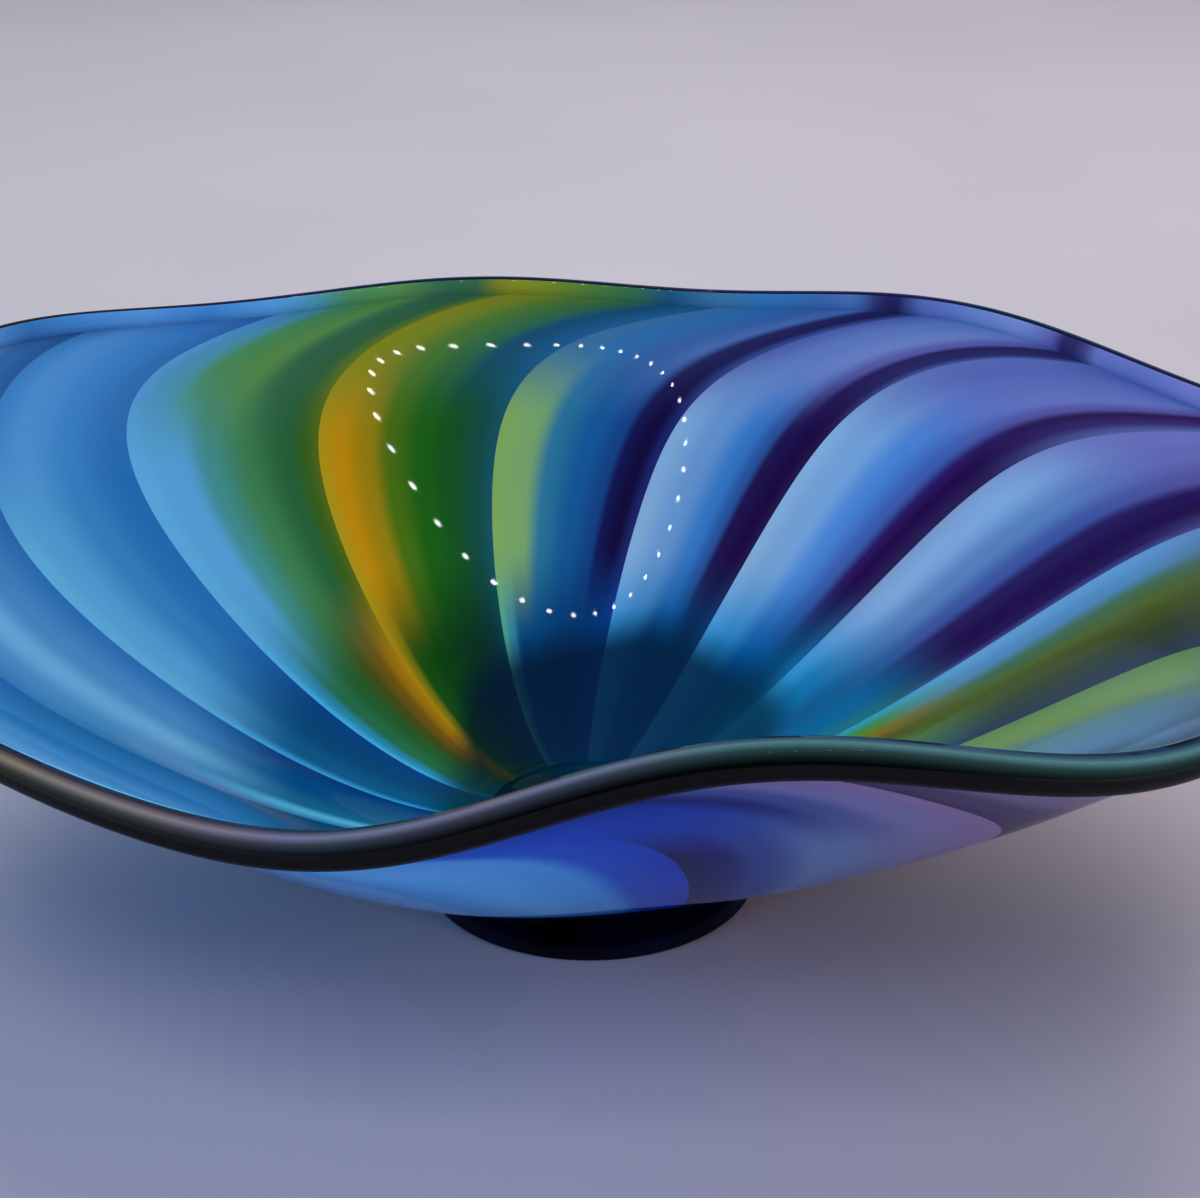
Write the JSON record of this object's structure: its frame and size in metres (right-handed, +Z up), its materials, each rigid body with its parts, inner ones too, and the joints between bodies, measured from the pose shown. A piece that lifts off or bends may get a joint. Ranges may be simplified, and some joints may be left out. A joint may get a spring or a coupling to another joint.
{
  "type": "art glass bowl",
  "caption": "Large footed art glass bowl with a wavy flared lip, a twisted swirl of fused colour bars between clear skins, a dark lip wrap and a flat round foot.",
  "frame": {"origin": "centre of the foot's flat ground underside, on the surface the bowl stands on", "axes": "+Z up out of the bowl; +X along the long way of the lip, to the right seen from the front; -Y towards the front, where the lip dips lowest"},
  "size_m": [0.4497, 0.3726, 0.1544],
  "materials": {
    "clear_glass": "fire-polished clear glass",
    "floor_pool": "dense dark teal glass under the clear skin",
    "lip_wrap": "fire-polished black glass thread",
    "foot": "polished near-black navy glass, ground underside",
    "bar_sky_1": "sky blue coloured glass, smooth",
    "bar_sky_2": "sky blue coloured glass, smooth",
    "bar_sea_green": "sea green coloured glass, smooth",
    "bar_umber": "umber coloured glass, smooth",
    "bar_amber": "amber coloured glass, smooth",
    "bar_leaf_green": "leaf green coloured glass, smooth",
    "bar_teal": "teal coloured glass, smooth",
    "bar_lime_1": "lime green coloured glass, smooth",
    "bar_mid_blue": "mid blue coloured glass, smooth",
    "bar_plum_1": "plum coloured glass, smooth",
    "bar_ice_blue_1": "ice blue coloured glass, smooth",
    "bar_plum_2": "plum coloured glass, smooth",
    "bar_ice_blue_2": "ice blue coloured glass, smooth",
    "bar_plum_3": "plum coloured glass, smooth",
    "bar_ice_blue_3": "ice blue coloured glass, smooth",
    "bar_plum_4": "plum coloured glass, smooth",
    "bar_ice_blue_4": "ice blue coloured glass, smooth",
    "bar_moss": "moss green coloured glass, smooth",
    "bar_slate": "slate coloured glass, smooth",
    "bar_lime_2": "lime green coloured glass, smooth",
    "bar_lilac_1": "lilac coloured glass, smooth",
    "bar_grey_mauve": "grey mauve coloured glass, smooth",
    "bar_plum_5": "plum coloured glass, smooth",
    "bar_lilac_2": "lilac coloured glass, smooth",
    "bar_grey_blue": "grey blue coloured glass, smooth",
    "bar_navy": "navy coloured glass, smooth",
    "bar_cobalt": "cobalt blue coloured glass, smooth",
    "bar_sky_3": "sky blue coloured glass, smooth",
    "bar_sky_4": "sky blue coloured glass, smooth",
    "bar_sky_5": "sky blue coloured glass, smooth"
  },
  "bodies": {
    "root": {"inner_gather": "clear_glass", "outer_casing": "clear_glass", "centre_pool": "floor_pool", "lip_roll": "clear_glass", "lip_wrap": "lip_wrap", "foot": "foot", "bar_sky_1": "bar_sky_1", "bar_sky_2": "bar_sky_2", "bar_sea_green": "bar_sea_green", "bar_umber": "bar_umber", "bar_amber": "bar_amber", "bar_leaf_green": "bar_leaf_green", "bar_teal": "bar_teal", "bar_lime_1": "bar_lime_1", "bar_mid_blue": "bar_mid_blue", "bar_plum_1": "bar_plum_1", "bar_ice_blue_1": "bar_ice_blue_1", "bar_plum_2": "bar_plum_2", "bar_ice_blue_2": "bar_ice_blue_2", "bar_plum_3": "bar_plum_3", "bar_ice_blue_3": "bar_ice_blue_3", "bar_plum_4": "bar_plum_4", "bar_ice_blue_4": "bar_ice_blue_4", "bar_moss": "bar_moss", "bar_slate": "bar_slate", "bar_lime_2": "bar_lime_2", "bar_lilac_1": "bar_lilac_1", "bar_grey_mauve": "bar_grey_mauve", "bar_plum_5": "bar_plum_5", "bar_lilac_2": "bar_lilac_2", "bar_grey_blue": "bar_grey_blue", "bar_navy": "bar_navy", "bar_cobalt": "bar_cobalt", "bar_sky_3": "bar_sky_3", "bar_sky_4": "bar_sky_4", "bar_sky_5": "bar_sky_5"}
  },
  "joints": []
}
